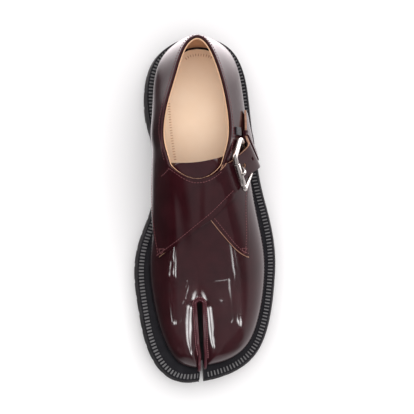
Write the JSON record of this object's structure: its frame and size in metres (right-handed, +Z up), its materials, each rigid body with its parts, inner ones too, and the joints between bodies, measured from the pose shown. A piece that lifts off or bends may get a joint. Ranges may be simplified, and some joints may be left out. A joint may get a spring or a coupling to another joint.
{
  "type": "tabi monk strap shoe",
  "caption": "Left split-toe leather shoe with a monk strap over the instep, a roller buckle on the outer side and a lugged rubber sole with a broad ribbed welt.",
  "frame": {"origin": "on the floor under the middle of the shoe's bounding box", "axes": "+X to the outer side of the left foot, +Y to the heel, +Z up; the toe points along -Y"},
  "size_m": [0.1192, 0.2902, 0.1017],
  "materials": {
    "sole_rubber": "matt black rubber",
    "natural_leather": "undyed, smooth and matt",
    "burgundy_leather": "dark burgundy, highly polished",
    "burgundy_binding": "burgundy, soft sheen",
    "dark_elastic": "woven elastic",
    "buckle_steel": "polished"
  },
  "bodies": {
    "root": {"outsole": "sole_rubber", "welt": "sole_rubber", "insole": "natural_leather", "upper": "burgundy_leather", "quarter_lateral": "burgundy_leather", "quarter_medial_strap": "burgundy_leather", "tongue": "burgundy_leather", "strap_keeper": "burgundy_leather", "cleft_binding": "burgundy_binding", "elastic_tab": "dark_elastic", "buckle_frame": "buckle_steel", "buckle_roller": "buckle_steel", "buckle_prong": "buckle_steel"}
  },
  "joints": []
}
